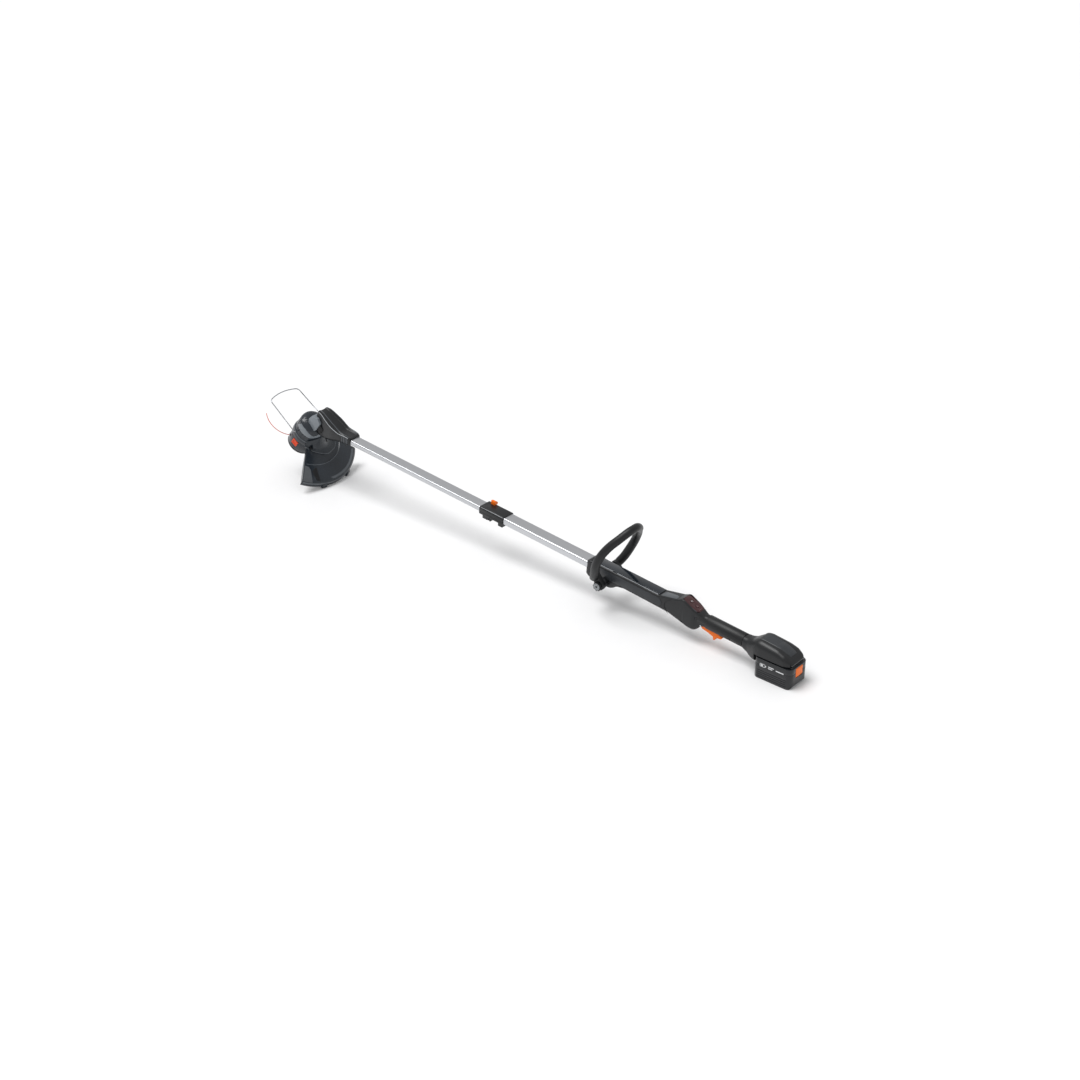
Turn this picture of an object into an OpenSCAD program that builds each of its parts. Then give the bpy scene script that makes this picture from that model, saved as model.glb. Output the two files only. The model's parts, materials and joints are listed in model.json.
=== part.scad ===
// Battery string trimmer, lying on its battery and on the two feet of its cutting guard.
// The origin is the middle of the battery's underside. +X runs from the cutting head to the
// battery, +Z is up and the floor is z = 0.

/* [Shaft] */
// Dip of the shaft towards the battery, in degrees
shaft_tilt = 4.42; // [3:0.1:6]
// Place of the front of the rear handle along X
front_x = -585.5; // [-590:0.5:-580]
// Height of the shaft axis at the front of the rear handle
front_z = 97.9; // [95:0.1:101]
// Width of the outer tube
outer_tube_w = 38; // [36:0.5:40]
// Height of the outer tube
outer_tube_h = 19.5; // [19:0.1:20.5]
// Wall of both tubes
tube_wall = 1.6; // [1.2:0.1:1.8]
// Running gap between the two tubes
tube_gap = 0.35; // [0.3:0.05:0.5]
// How far the shaft is drawn out in front of the rear handle, to its cover on the head
shaft_reach = 860; // [850:1:870]
// Travel of the telescopic shaft
shaft_travel = 200; // [150:10:200]

/* [Telescope sleeve] */
// Length of the sleeve that joins the tubes
sleeve_len = 83; // [80:1:86]
// Distance from the rear handle to the sleeve
sleeve_gap = 287; // [280:1:290]
// How far the sleeve stands proud of the outer tube
sleeve_proud = 2.6; // [2.2:0.2:3]

/* [Cutting head] */
// Place of the spool's lower rim along X
spool_x = -1669.5; // [-1672:0.5:-1666]
// Height of the middle of the spool's lower rim
spool_z = 92; // [90:0.5:95]
// Lean of the spool axis from the vertical, in degrees
head_tilt = 39; // [36:0.5:41]
// Radius of the spool
spool_r = 40; // [38:0.5:41]
// Height of the spool
spool_h = 40; // [38:0.5:41]
// Radius of the motor barrel
barrel_r = 42; // [41:0.5:43]
// Radius of the bell over the spool
bell_r = 44.5; // [44:0.5:45.5]
// Radius of the guard's rim
guard_r = 160; // [156:1:161]
// Angle of the guard's near end from the middle
guard_near = 41; // [40:1:43]
// Angle of the guard's far end from the middle, where the line is cut
guard_far = 52; // [51:1:54]
// Diameter of the cutting line
line_d = 2; // [1.6:0.1:2.4]

/* [Loop handle] */
// Lean of the loop from the vertical, in degrees
loop_lean = 28; // [25:1:30]
// Half of the loop's width at its base
loop_half_w = 50; // [49:0.5:51]
// Diameter of the loop's bar
loop_d = 22.5; // [20:0.5:23]

/* [Rear handle] */
// Half of the housing's width
housing_half_w = 19.8; // [19.4:0.1:21]
// Radius of the rear grip
grip_r = 18.3; // [17.5:0.1:19]
// Thickness of the rubber on the grip
rubber_t = 1.8; // [1.2:0.1:2]
// Wall of the plastic housings
shell_wall = 2.6; // [2.2:0.1:3]

/* [Battery] */
// Length of the battery pack
pack_len = 108; // [107:0.5:109]
// Width of the battery pack
pack_w = 74; // [72:1:76]
// Height of the battery pack below its rails
pack_h = 55.5; // [54:0.5:56]

/* [Hidden] */
fine = 96;
eps = 0.01;
lap = 0.2;                                // overlap of the pieces of a bent bar
inner_tube_w = outer_tube_w - 2 * (tube_wall + tube_gap);
inner_tube_h = outer_tube_h - 2 * (tube_wall + tube_gap);
tube_corner = 4.2;
outer_tube_in = 70;                       // length of the outer tube inside the rear handle
outer_tube_start = -sleeve_gap - 35;      // its far end, inside the sleeve
sleeve_x = -sleeve_gap - sleeve_len;
sleeve_w = outer_tube_w + 2 * sleeve_proud;
sleeve_h = outer_tube_h + 2 * sleeve_proud;
inner_tube_start = -shaft_reach - 48;
inner_tube_end = -sleeve_gap + 92;
pivot_s = 62.7;                           // loop pivot, in shaft coordinates
pivot_n = -21.9;
knob_y = 46;                              // outer face of the loop's ears
loop_offset = 22;                         // from the pivot forward to the loop's plane
trigger_s = 360;                          // trigger pin, in shaft coordinates
trigger_n = -13;
panel_s = 303;                            // front top corner of the keypad
panel_n = 37.4;
panel_slope = 20.5;
grip_start = 362;
grip_end = 500;
bell_w0 = spool_h + 1.5;
pack_x = -pack_len / 2;
pack_end = pack_len / 2;
cell_r = 9.1;
cell_pitch = 18.5;
cell_corner = 8;                          // corner radius of the room for the cells
line_bend = 64;                           // bend radius of the cutting line
line_w = 9;                               // height of the cutting plane above the lower rim
wire_w = 72.8;                            // pivot of the wire guard, in head coordinates
wire_r = -9.4;
wire_half_y = 57.5;
wire_leg = 106;
wire_taper = 2.2;                         // its legs close in towards the tip
wire_turn = 70.4;                         // turn of each corner
wire_corner = 13;
wire_elbow = 4;
wire_ear = wire_half_y - wire_elbow - barrel_r + 1.5;
wire_d = 3;
wire_lean = 33.8;                         // how far its legs point above the horizontal
wire_bow = (wire_half_y - wire_leg * sin(wire_taper) - wire_corner * (cos(wire_taper)
    - cos(wire_taper + wire_turn))) / cos(wire_taper + wire_turn);

charcoal = [0.20, 0.21, 0.22];
dark = [0.12, 0.12, 0.13];
graphite = [0.16, 0.19, 0.22];
orange = [0.95, 0.42, 0.12];
red_orange = [0.91, 0.25, 0.11];
steel = [0.72, 0.73, 0.75];
alloy = [0.80, 0.81, 0.83];
copper = [0.72, 0.42, 0.22];
rubber = [0.10, 0.10, 0.11];
nylon = [0.85, 0.84, 0.80];

module on_shaft() translate([front_x, 0, front_z]) rotate([0, shaft_tilt, 0]) children();
module on_head() translate([spool_x, 0, spool_z]) rotate([0, head_tilt, 0]) children();
module on_loop() on_shaft() translate([pivot_s, 0, pivot_n]) rotate([0, loop_lean - shaft_tilt, 0])
    translate([-loop_offset, 0, 0]) children();
module on_panel() on_shaft() translate([panel_s, 0, panel_n]) rotate([0, panel_slope, 0]) children();
module on_wire() on_head() translate([wire_r, 0, wire_w]) rotate([0, 180 + wire_lean - head_tilt, 0])
    children();

// A bar along X with rounded edges, from x0, and centred on the axis.
module bar(x0, len, w, h, r) {
    translate([x0, 0, 0]) rotate([90, 0, 90]) linear_extrude(len) rounded(w, h, r);
}
module rounded(w, h, r) {
    square([w - 2 * r, h], center = true);
    square([w, h - 2 * r], center = true);
    for (x = [-1, 1], y = [-1, 1]) translate([x * (w / 2 - r), y * (h / 2 - r)]) circle(r, $fn = 32);
}
// An outline in the XZ plane, pulled out to y0 .. y1.
module side(points, y0, y1) translate([0, y1, 0]) rotate([90, 0, 0]) linear_extrude(y1 - y0) polygon(points);
// An outline in the XY plane, mirrored about the X axis, pulled out to z0 .. z1.
module plan(points, z0, z1) translate([0, 0, z0]) linear_extrude(z1 - z0)
    polygon(concat(points, [for (i = [len(points) - 1:-1:0]) [points[i][0], -points[i][1]]]));
module block(x0, x1, y0, y1, z0, z1) translate([x0, y0, z0]) cube([x1 - x0, y1 - y0, z1 - z0]);
module pin_y(x, z, r, y0, y1) translate([x, y1, z]) rotate([90, 0, 0]) cylinder(r = r, h = y1 - y0, $fn = 64);
module rod_x(r, x0, x1) translate([x0, 0, 0]) rotate([0, 90, 0]) cylinder(r = r, h = x1 - x0, $fn = 96);
// A pan-head screw that points down, with its head on z = 0 and a cross slot.
module screw(r, len, head_r, head_h) difference() {
    union() {
        translate([0, 0, -len]) cylinder(r = r, h = len + eps, $fn = 32);
        cylinder(r = head_r, h = head_h, $fn = 48);
    }
    for (a = [0, 90]) rotate([0, 0, a]) block(-head_r * 0.6, head_r * 0.6, -0.4, 0.4, head_h * 0.45, head_h + 1);
}

// ---- Rear handle ----
HOUSING_SIDE = [[0, 13], [5, 16.6], [228, 16.6], [284, 30.5], [300, 38.6], [306, 38.4],
    [346, 21.5], [360, 17], [374, 14], [374, -12], [366, -16.5], [356, -20], [346, -32],
    [338, -35.5], [322, -35], [296, -29], [262, -21.5], [120, -17.8], [96, -24], [84, -34], [74, -38.5],
    [50, -38.5], [34, -38], [14, -36.5], [0, -30]];
HOUSING_PLAN = [[0, 18.6], [6, 20.6], [34, 20.6], [40, housing_half_w], [230, housing_half_w - 0.6],
    [290, 19.6], [334, 19.4], [352, 16], [362, 13], [374, 11]];
module housing_outer() {
    intersection() {
        side(HOUSING_SIDE, -30, 30);
        plan(HOUSING_PLAN, -60, 60);
    }
    rod_x(grip_r - rubber_t, grip_start - 12, grip_end);
}
module housing_inner() {
    w = 2 * (housing_half_w - shell_wall);
    block(outer_tube_in + 8, 236, -w / 2, w / 2, -14.5, 13.4);
    side([[235, -14.5], [235, 13.4], [286, 24], [298, 34], [346, 16], [346, -16], [337, -32], [322, -31.6],
        [296, -25.6], [262, -18]], -w / 2, w / 2);
    rod_x(grip_r - rubber_t - shell_wall, 340, grip_end + 1);
}
module housing_cuts() {
    bar(-1, outer_tube_in + 1, outer_tube_w, outer_tube_h, tube_corner);
    bar(outer_tube_in - 1, 12, inner_tube_w, inner_tube_h, tube_corner);
    block(30, 229, -16, 16, 14.4, 20);
    translate([panel_s, 0, panel_n]) rotate([0, panel_slope, 0]) block(-4, 50, -15.2, 15.2, -1.6, 12);
    translate([panel_s, 0, panel_n]) rotate([0, panel_slope, 0])
        for (x = [15, 33]) block(x - 5.5, x + 5.5, -7, 7, -6, 1);
    block(348, 430, -7, 7, -40, -4);
    pin_y(pivot_s, pivot_n, 4.1, -40, 40);
    pin_y(trigger_s, trigger_n, 2.5, -30, 30);
    for (p = SCREW_POINTS) {
        pin_y(p[0], p[1], 1.6, -30, 30);
        pin_y(p[0], p[1], 3.6, -30, -15);
    }
}
SCREW_POINTS = [[22, -13.4], [112, -12.6], [225, -13], [306, -24], [344, 5], [448, -6]];
module screw_boss() for (p = SCREW_POINTS) pin_y(p[0], p[1], 4.4, -16.2, 16.2);
module housing() {
    difference() {
        union() {
            difference() {
                housing_outer();
                housing_inner();
            }
            intersection() {
                housing_outer();
                screw_boss();
            }
            intersection() {
                housing_outer();
                pin_y(pivot_s, pivot_n, 9, -19, 19);
            }
            for (s = [-1, 1]) intersection() {
                housing_outer();
                block(354, 367, min(s * 7, s * 15), max(s * 7, s * 15), -18, -6);
            }
        }
        housing_cuts();
    }
}
module handle_shell_left() color(charcoal) on_shaft() intersection() {
    housing();
    block(-5, grip_end + 5, -40, 0, -60, 60);
}
module handle_shell_right() color(charcoal) on_shaft() intersection() {
    housing();
    block(-5, grip_end + 5, 0, 40, -60, 60);
}
module top_cover() color(graphite) on_shaft() difference() {
    union() {
        block(30.3, 228.7, -15.7, 15.7, 14.6, 17.4);
        intersection() {
            block(30.3, 228.7, -15.7, 15.7, 14.6, 18.4);
            plan([[30.3, 13.5], [228.7, 12.5]], 17, 18.4);
        }
    }
    for (x = [60, 200]) translate([x, 0, 10]) cylinder(r = 1.5, h = 6.5, $fn = 32);
}
module keypad_panel() color([0.24, 0.13, 0.13]) on_panel() difference() {
    intersection() {
        block(-3.6, 49.6, -15, 15, -1.5, 0.6);
        plan([[-3.6, 9], [6, 15], [42, 15], [49.6, 8]], -2, 2);
    }
    for (x = [15, 33]) translate([x, 0, -3]) cylinder(r = 5, h = 6, $fn = 64);
}
module key(x) on_panel() translate([x, 0, -2.2]) {
    cylinder(r = 4.7, h = 3.6, $fn = 64);
    translate([0, 0, -1.2]) cylinder(r = 5.3, h = 1.2 + eps, $fn = 64);
}
module power_key() color([0.30, 0.16, 0.15]) key(15);
module mode_key() color([0.30, 0.16, 0.15]) key(33);
module grip_rubber() color(rubber) on_shaft() difference() {
    rod_x(grip_r, 374, grip_end - 16);
    rod_x(grip_r - rubber_t, 370, grip_end);
    block(370, 432, -8.5, 8.5, -30, -4);
    pin_y(448, -6, 4, -30, -10);
}
module controller_board() color([0.12, 0.34, 0.22]) on_shaft() {
    block(254, 336, -13, 13, -16.4, -14.8);
    for (x = [262, 282]) translate([x, -4, -14.8 - eps]) cylinder(r = 5, h = 16, $fn = 48);
    for (x = [296, 308, 320]) block(x, x + 8, -11, -2, -14.8 - eps, -11);
    block(296, 332, 2, 11, -14.8 - eps, -7);
}
module trigger_switch() color(dark) on_shaft() {
    block(372, 394, -5.5, 5.5, 0, 11);
    block(378, 382, -1.5, 1.5, -10.7, eps);
}
module trigger_pin() color(steel) on_shaft() pin_y(trigger_s, trigger_n, 2.5, -14.6, 14.6);
module housing_screws() color(steel) on_shaft() for (p = SCREW_POINTS)
    translate([p[0], -15, p[1]]) rotate([90, 0, 0]) screw(1.6, 22, 3.2, 2.4);
module loop_bolt() color(steel) on_shaft() translate([pivot_s, 0, pivot_n]) {
    rotate([90, 0, 0]) translate([0, 0, -knob_y - 1]) cylinder(r = 4, h = 2 * knob_y + 7, $fn = 64);
    rotate([-90, 0, 0]) translate([0, 0, knob_y]) cylinder(r = 8, h = 4.5, $fn = 6);
}
module loop_nut() color(steel) on_shaft() for (s = [-1, 1]) translate([pivot_s, 0, pivot_n])
    rotate([s * 90, 0, 0]) translate([0, 0, housing_half_w + 0.3]) difference() {
        cylinder(r = 12.5, h = 11.6, $fn = 64);
        translate([0, 0, -1]) cylinder(r = 4.05, h = 14, $fn = 64);
    }

// ---- Battery bay, level with the battery ----
BAY_SIDE = [[-101, 44], [-101, 77], [-87, 77.5], [-75, 80.5], [-61, 90], [-50, 95.5], [-39, 96],
    [7, 90], [29, 82], [43, 73], [51, 64], [54, 59], [54, 56.2], [pack_x - 1.1, 56.2], [pack_x - 1.1, 36],
    [-66, 33.5], [-78, 35.5], [-91, 39.5]];
BAY_PLAN = [[-101, 18.3], [-87, 20], [-71, 27], [-57, 33.6], [-43, 35.6], [28, 35.6], [43, 31], [52, 23], [54, 19]];
BAY_ARCH = [[36, 20], [36, 74], [33, 81.5], [27, 88.5], [18, 94], [8, 96.5]];
// Cross-section of the bay, moved inwards by d.
module bay_section(d) translate([pack_x - 60, 0, 0]) rotate([90, 0, 90]) linear_extrude(200)
    polygon(concat([for (p = BAY_ARCH) [p[0] - d, p[1] - d]],
        [for (i = [len(BAY_ARCH) - 1:-1:0]) [d - BAY_ARCH[i][0], BAY_ARCH[i][1] - d]]));
module bay_outer() intersection() {
    side(BAY_SIDE, -40, 40);
    plan(BAY_PLAN, 0, 120);
    bay_section(0);
}
module battery_bay() color(charcoal) difference() {
    bay_outer();
    intersection() {
        side([[-53, 66], [-53, 82], [-47, 91], [-39, 92], [6, 86], [24, 79], [36, 71], [38, 66]], -40, 40);
        plan([[-72, 20], [-43, 24], [28, 24], [44, 20]], 50, 120);
        bay_section(3);
    }
    block(pack_x + 1, 60, -28.5, 28.5, 50, 66);
    on_shaft() rod_x(grip_r - rubber_t - shell_wall, grip_end - 20, grip_end + 40);
    on_shaft() rod_x(grip_r - rubber_t + 0.02, grip_end - 40, grip_end);
}
module terminal_block() color(dark) {
    block(-50, -41, -22, 22, 67, 80);
    block(-50, -30, -14, 14, 80 - eps, 84);
}
module terminal_blades() color(copper) for (y = [-15, 0, 15]) block(-48, -33, y - 0.5, y + 0.5, 60, 67);

// ---- Shaft and telescope sleeve ----
module tube(x0, x1, w, h) difference() {
    bar(x0, x1 - x0, w, h, tube_corner);
    bar(x0 - 1, x1 - x0 + 2, w - 2 * tube_wall, h - 2 * tube_wall, tube_corner - tube_wall);
}
module outer_tube() color(alloy) on_shaft() tube(outer_tube_start, outer_tube_in, outer_tube_w, outer_tube_h);
module inner_tube() color(alloy) on_shaft() difference() {
    tube(inner_tube_start, inner_tube_end, inner_tube_w, inner_tube_h);
    pin_y(-shaft_reach - 30, 0, 2.6, -30, 30);
}
module tube_bushing() color(nylon) on_shaft() difference() {
    bar(inner_tube_end, 14, inner_tube_w, inner_tube_h, tube_corner);
    rod_x(5.4, inner_tube_end - 1, inner_tube_end + 20);
}
LUGS = [[12, 29], [67, 15]];
module sleeve_body() {
    difference() {
        union() {
            intersection() {
                bar(sleeve_x, sleeve_len, sleeve_w, sleeve_h, 6);
                side([[sleeve_x, -10], [sleeve_x, 9], [sleeve_x + 5, 30], [sleeve_x + sleeve_len, 30],
                    [sleeve_x + sleeve_len, -30], [sleeve_x + 5, -30]], -30, 30);
            }
            for (g = LUGS) block(sleeve_x + g[0], sleeve_x + g[0] + g[1], -sleeve_w / 2 + 1, sleeve_w / 2 - 1,
                -18.5, -8);
        }
        bar(sleeve_x - 1, sleeve_len + 2, inner_tube_w + 2 * tube_gap, inner_tube_h + 2 * tube_gap, tube_corner);
        bar(outer_tube_start, 200, outer_tube_w, outer_tube_h, tube_corner);
        pin_y(sleeve_x + 54, -28, 17, -40, 40);
        for (p = SLEEVE_SCREWS) translate([p[0], p[1], -30]) cylinder(r = 1.6, h = 38, $fn = 32);
        for (p = SLEEVE_SCREWS) translate([p[0], p[1], -30]) cylinder(r = 3.4, h = 30 + p[2], $fn = 32);
        block(button_s - 6.8, button_s + 6.8, 9.7, 30, 8.2, 30);
        block(button_s - 4.3, button_s + 4.3, 18, 20.2, -3, 9);
        block(sleeve_x + 8.7, sleeve_x + 37.3, -10.3, 6.3, 5, 10.8);
    }
}
button_s = sleeve_x + 20;
SLEEVE_SCREWS = [[sleeve_x + 33, -19, -14.5], [sleeve_x + 33, 19, -14.5]];
module sleeve_top() color(charcoal) on_shaft() intersection() {
    sleeve_body();
    block(sleeve_x - 5, sleeve_x + sleeve_len + 5, -40, 40, 0, 40);
}
module sleeve_bottom() color(charcoal) on_shaft() intersection() {
    sleeve_body();
    block(sleeve_x - 5, sleeve_x + sleeve_len + 5, -40, 40, -40, 0);
}
module sleeve_screws() color(steel) on_shaft() for (p = SLEEVE_SCREWS)
    translate(p) rotate([180, 0, 0]) screw(1.6, 7 - p[2], 2.9, 2);
module release_button() color(orange) on_shaft() {
    intersection() {
        block(button_s - 6.5, button_s + 6.5, 10, 22.5, 12.2, 23.5);
        rod_x_at(button_s - 10, button_s + 10, 8, 4, 20.5);
    }
    block(button_s - 4, button_s + 4, 18.3, 19.9, 2, 12.2 + eps);
    block(button_s - 6.5, button_s + 6.5, 12, 20, 12.2 - eps, 14);
}
module rod_x_at(x0, x1, y, z, r) translate([x0, y, z]) rotate([0, 90, 0]) cylinder(r = r, h = x1 - x0, $fn = 96);
module release_spring() color(steel) on_shaft() translate([button_s, 14.2, 8.3]) difference() {
    cylinder(r = 2.6, h = 3.8, $fn = 48);
    translate([0, 0, -1]) cylinder(r = 1.8, h = 6, $fn = 48);
}
module brake_shoe() color(rubber) on_shaft()
    block(sleeve_x + 9, sleeve_x + 37, -10, 6, inner_tube_h / 2 + 0.35, inner_tube_h / 2 + 1.75);
// The coil stays with the rear handle. The lead slides into it as the shaft closes.
module coiled_cable() color(dark) on_shaft() difference() {
    rod_x(4.6, -150, 64);
    rod_x(2.5, -151, 65);
}
module motor_lead() color(dark) on_shaft() rod_x(2, inner_tube_start + 50, -140);

// ---- Cutting head ----
NECK_SIDE = [[-1000, 20], [-996, 42], [-991, 50.5], [-976, 48.5], [-963, 41.5], [-945, 33], [-926, 26.6], [-905, 18.5],
    [-880, 15.4], [-862, 12.6], [-862, -10.4], [-880, -11.5], [-905, -12.8], [-935, -21], [-960, -28], [-1012, -30]];
NECK_PLAN = [[-1012, 12], [-1000, 16], [-963, 22], [-932, 25.5], [-900, 24.6], [-862, 20.8]];
module neck_outer() intersection() {
    side(NECK_SIDE, -40, 40);
    plan(NECK_PLAN, -80, 80);
}
module neck_cavity() {
    side([[-990, 8], [-988, 45], [-977, 44], [-963, 37], [-945, 29], [-926, 22], [-912, 17], [-912, -8], [-950, -20],
        [-985, -20]], -14, 14);
    bar(inner_tube_start, 60, inner_tube_w, inner_tube_h, tube_corner);
    pin_y(-shaft_reach - 30, 0, 2.6, -30, 30);
    for (s = [-1, 1]) pin_y(-shaft_reach - 30, 0, 5, min(s * 17.5, s * 40), max(s * 17.5, s * 40));
    for (p = HEAD_SCREWS) translate([p[0], p[1], -60]) cylinder(r = 1.6, h = 74, $fn = 32);
}
HEAD_SCREWS = [[-877, -19.4], [-877, 19.4]];
module barrel_shape() rotate_extrude($fn = fine) polygon([[0, bell_w0 + 71.5], [0, bell_w0], [bell_r, bell_w0],
    [bell_r, bell_w0 + 10], [bell_r - 1, bell_w0 + 16], [barrel_r, bell_w0 + 21], [barrel_r, bell_w0 + 50],
    [barrel_r - 2, bell_w0 + 58], [barrel_r - 8, bell_w0 + 65], [barrel_r - 18, bell_w0 + 70]]);
module split_line() side([[-1030, 2], [-855, 2], [-855, 70], [-1030, 70]], -50, 50);
module head_cover() color(charcoal) difference() {
    on_shaft() intersection() {
        difference() {
            neck_outer();
            neck_cavity();
        }
        split_line();
    }
    on_head() barrel_shape();
}
module neck_shell() color(charcoal) difference() {
    on_shaft() difference() {
        neck_outer();
        neck_cavity();
        split_line();
    }
    on_head() barrel_shape();
}
module motor_housing() color(charcoal) on_head() difference() {
    barrel_shape();
    rotate_extrude($fn = fine) polygon([[0, bell_w0 - 1], [bell_r - 3, bell_w0 - 1], [bell_r - 3, bell_w0 + 6],
        [30, bell_w0 + 8], [0, bell_w0 + 8]]);
    rotate_extrude($fn = fine) polygon([[0, bell_w0 + 11], [29, bell_w0 + 11], [barrel_r - 3, bell_w0 + 20],
        [barrel_r - 3, bell_w0 + 50], [barrel_r - 11, bell_w0 + 63], [18, bell_w0 + 67], [0, bell_w0 + 67]]);
    translate([0, 0, bell_w0]) cylinder(r = 4.6, h = 30, $fn = 64);
    for (a = [-24:12:24]) rotate([0, 0, a - 90]) translate([barrel_r - 6, 0, bell_w0 + 34]) block(0, 10, -1.6, 1.6, 0, 12);
    for (a = [66:12:114]) rotate([0, 0, a]) translate([barrel_r - 6, 0, bell_w0 + 34]) block(0, 10, -1.6, 1.6, 0, 12);
    pin_y(wire_r, wire_w, wire_d / 2 + 0.1, -60, 60);
}
module motor_bearings() color(steel) on_head() for (w = [bell_w0 + 11, bell_w0 + 60]) translate([0, 0, w])
    difference() {
        cylinder(r = 11, h = 7, $fn = fine);
        translate([0, 0, -1]) cylinder(r = 4.03, h = 9, $fn = fine);
    }
module motor_stator() color(copper) on_head() {
    translate([0, 0, bell_w0 + 23]) difference() {
        cylinder(r = 30, h = 26, $fn = fine);
        translate([0, 0, -1]) cylinder(r = 18, h = 30, $fn = fine);
    }
    for (a = [0:60:300]) rotate([0, 0, a]) translate([24, 0, bell_w0 + 20]) cylinder(r = 5, h = 3 + eps, $fn = 32);
    for (a = [30:120:270]) rotate([0, 0, a]) block(29, barrel_r - 3.4, -5, 5, bell_w0 + 25, bell_w0 + 47);
}
module tube_bolt() color(steel) on_shaft() translate([-shaft_reach - 30, 0, 0]) {
    pin_y(0, 0, 2.6, -19, 19);
    pin_y(0, 0, 4.8, -19.6, -17.6);
    pin_y(0, 0, 4.8, 17.6, 19.6);
}
module head_screws() color(steel) on_shaft() for (p = HEAD_SCREWS)
    translate([p[0], p[1], -11.6]) rotate([180, 0, 0]) screw(1.6, 23, 2.6, 1.8);

// The guard is a dished fan with a rim, behind and below the spool.
GUARD_TOP = [[46, 49], [58, 45.5], [100, 38], [140, 32], [153, 28.6], [guard_r - 2, 24.5], [guard_r, 17], [guard_r, 11.5]];
GUARD_UNDER = [[guard_r - 3, 11.5], [guard_r - 4.5, 22], [151, 25.8], [140, 28.8], [100, 34.6], [58, 42], [46, 45]];
FEET = [-14, 21];
BOSSES = [-30, 34];
module fan(points, from, to) rotate([0, 0, from]) rotate_extrude(angle = to - from, $fn = 180) polygon(points);
module cutting_guard() color(graphite) difference() {
    on_head() difference() {
        union() {
            fan(concat(GUARD_TOP, GUARD_UNDER), -guard_near, guard_far);
            for (a = FEET) rotate([0, 0, a])
                side([[guard_r - 8, 25], [guard_r + 0.5, 22], [guard_r + 5, 15], [guard_r + 5, 2], [guard_r - 3, 2]], -8, 8);
            for (a = [-guard_near + 0.6, guard_far - 0.6]) rotate([0, 0, a])
                side([[50, 41], [50, 46.5], [100, 37.4], [140, 31.4], [153, 28], [guard_r - 2.6, 24], [guard_r - 0.6, 17],
                    [140, 17], [100, 26]], -1.6, 1.6);
            for (a = [-36:12:48]) rotate([0, 0, a]) side([[60, 43], [60, 46.5], [112, 37.8], [112, 35]], -1, 1);
            for (r = [120, 134]) fan([[r, 31], [r, 37 - (r - 118) * 0.15], [r + 2.4, 37 - (r - 118) * 0.15],
                [r + 2.4, 30.6]], -guard_near + 8, guard_far - 8);
            for (a = BOSSES) rotate([0, 0, a]) translate([56, 0, 41]) cylinder(r = 6, h = 9, $fn = 48);
        }
        for (a = BOSSES) rotate([0, 0, a]) translate([56, 0, 30]) cylinder(r = 2.2, h = 30, $fn = 48);
    }
    block(spool_x, spool_x + 250, -200, 200, -40, 0);
}
module guard_screws() color(steel) on_head() for (a = BOSSES) rotate([0, 0, a])
    translate([56, 0, 50]) screw(2.2, 10, 4, 2.2);
CUTTER_HOLES = [guard_r - 28, guard_r - 17];
cutter_w = 20;
module on_cutter() on_head() rotate([0, 0, guard_far - 1.6]) children();
module line_cutter() color(steel) on_cutter() difference() {
    side([[guard_r - 33, 25], [guard_r - 12, 22.6], [guard_r - 12, 5], [guard_r - 28, 5]], -2.2, -1);
    for (x = CUTTER_HOLES) pin_y(x, cutter_w, 1.65, -5, 5);
}
module cutter_screws() color(steel) on_cutter()
    for (x = CUTTER_HOLES) translate([x, -2.2, cutter_w]) rotate([90, 0, 0]) screw(1.6, 1.2, 2.2, 1.4);

module motor_shaft() color(steel) on_head() translate([0, 0, 22]) cylinder(r = 4, h = bell_w0 + 44.5, $fn = fine);
module motor_rotor() color(dark) on_head() translate([0, 0, bell_w0 + 24]) difference() {
    cylinder(r = 17.3, h = 24, $fn = fine);
    translate([0, 0, -1]) cylinder(r = 4, h = 40, $fn = fine);
}
module cooling_fan() color(dark) on_head() translate([0, 0, bell_w0 + 52]) difference() {
    union() {
        cylinder(r = 9, h = 6, $fn = fine);
        cylinder(r = 26, h = 1.2, $fn = fine);
        for (a = [0:30:330]) rotate([0, 0, a]) block(8, 26, -0.7, 0.7, 1, 6);
    }
    translate([0, 0, -5]) cylinder(r = 4, h = 40, $fn = fine);
}
LATCHES = [-86, 94];
latch_w = 12;                             // lower edge of the cap latches
module spool_drum() color(charcoal) on_head() difference() {
    union() {
        difference() {
            cylinder(r = spool_r, h = spool_h, $fn = fine);
            translate([0, 0, -1]) cylinder(r = spool_r - 3, h = spool_h - 2, $fn = fine);
        }
        translate([0, 0, 20]) cylinder(r = 9, h = spool_h - 20, $fn = fine);
        translate([0, 0, 19]) cylinder(r = 11.7, h = 8, $fn = fine);
    }
    translate([0, 0, -5]) cylinder(r = 4, h = 60, $fn = fine);
    for (a = LATCHES) rotate([0, 0, a]) block(spool_r - 9, spool_r + 5, -10.3, 10.3, latch_w - 0.3, latch_w + 19.3);
    rotate([0, 0, -135]) translate([spool_r - 10, 0, line_w]) rotate([0, 90, 0]) cylinder(r = 3.5, h = 20, $fn = 48);
}
module spool_cap() color(dark) on_head() difference() {
    union() {
        translate([0, 0, -7]) cylinder(r = spool_r - 0.6, h = 7, $fn = fine);
        translate([0, 0, -eps]) difference() {
            cylinder(r = spool_r - 3.2, h = 3, $fn = fine);
            translate([0, 0, -1]) cylinder(r = spool_r - 5.4, h = 6, $fn = fine);
        }
    }
    translate([0, 0, -10]) cylinder(r = 22.4, h = 20, $fn = fine);
}
module line_reel() color(orange) on_head() difference() {
    union() {
        for (w = [3.4, 18.4]) translate([0, 0, w]) cylinder(r = 28.5, h = 1.6, $fn = fine);
        translate([0, 0, 3.4]) cylinder(r = 16, h = 16, $fn = fine);
    }
    translate([0, 0, 3]) cylinder(r = 12.1, h = 20, $fn = fine);
}
module line_winding() color(red_orange) on_head() translate([0, 0, 5]) difference() {
    cylinder(r = 27, h = 13.4, $fn = fine);
    translate([0, 0, -1]) cylinder(r = 16, h = 18, $fn = fine);
}
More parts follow.
